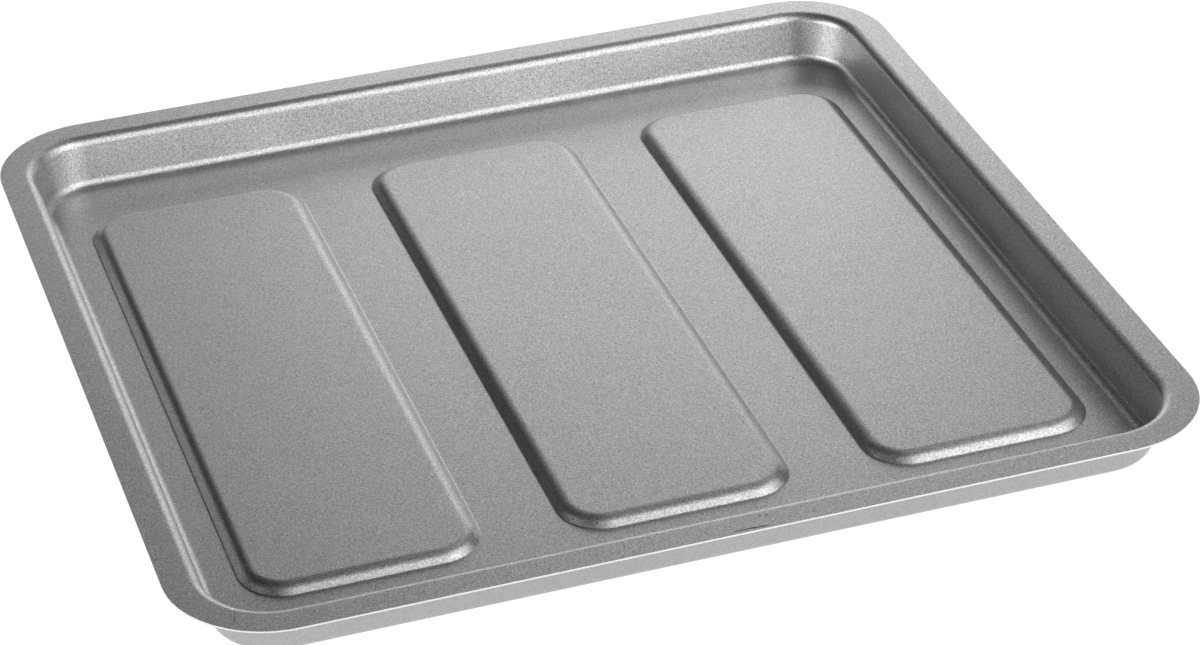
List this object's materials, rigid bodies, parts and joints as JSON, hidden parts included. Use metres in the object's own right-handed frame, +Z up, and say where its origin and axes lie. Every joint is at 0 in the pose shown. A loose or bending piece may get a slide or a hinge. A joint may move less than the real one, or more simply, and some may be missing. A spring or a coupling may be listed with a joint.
{
  "type": "baking pan",
  "caption": "Shallow pressed-steel baking pan for a bench-top oven: flat rim, drafted walls, rounded corners and long raised panels across its floor.",
  "frame": {"origin": "under the middle of the pan, on the plane that it stands on", "axes": "+X across the raised panels, along the pan's longer side; +Y along the panels; +Z up, out of the pan's mouth"},
  "size_m": [0.31, 0.302, 0.0173],
  "materials": {
    "coated_steel": "semi-gloss grey non-stick coating with fine metallic flake, bare bright steel at the cut edge"
  },
  "bodies": {
    "root": {"baking_pan": "coated_steel"}
  },
  "joints": []
}
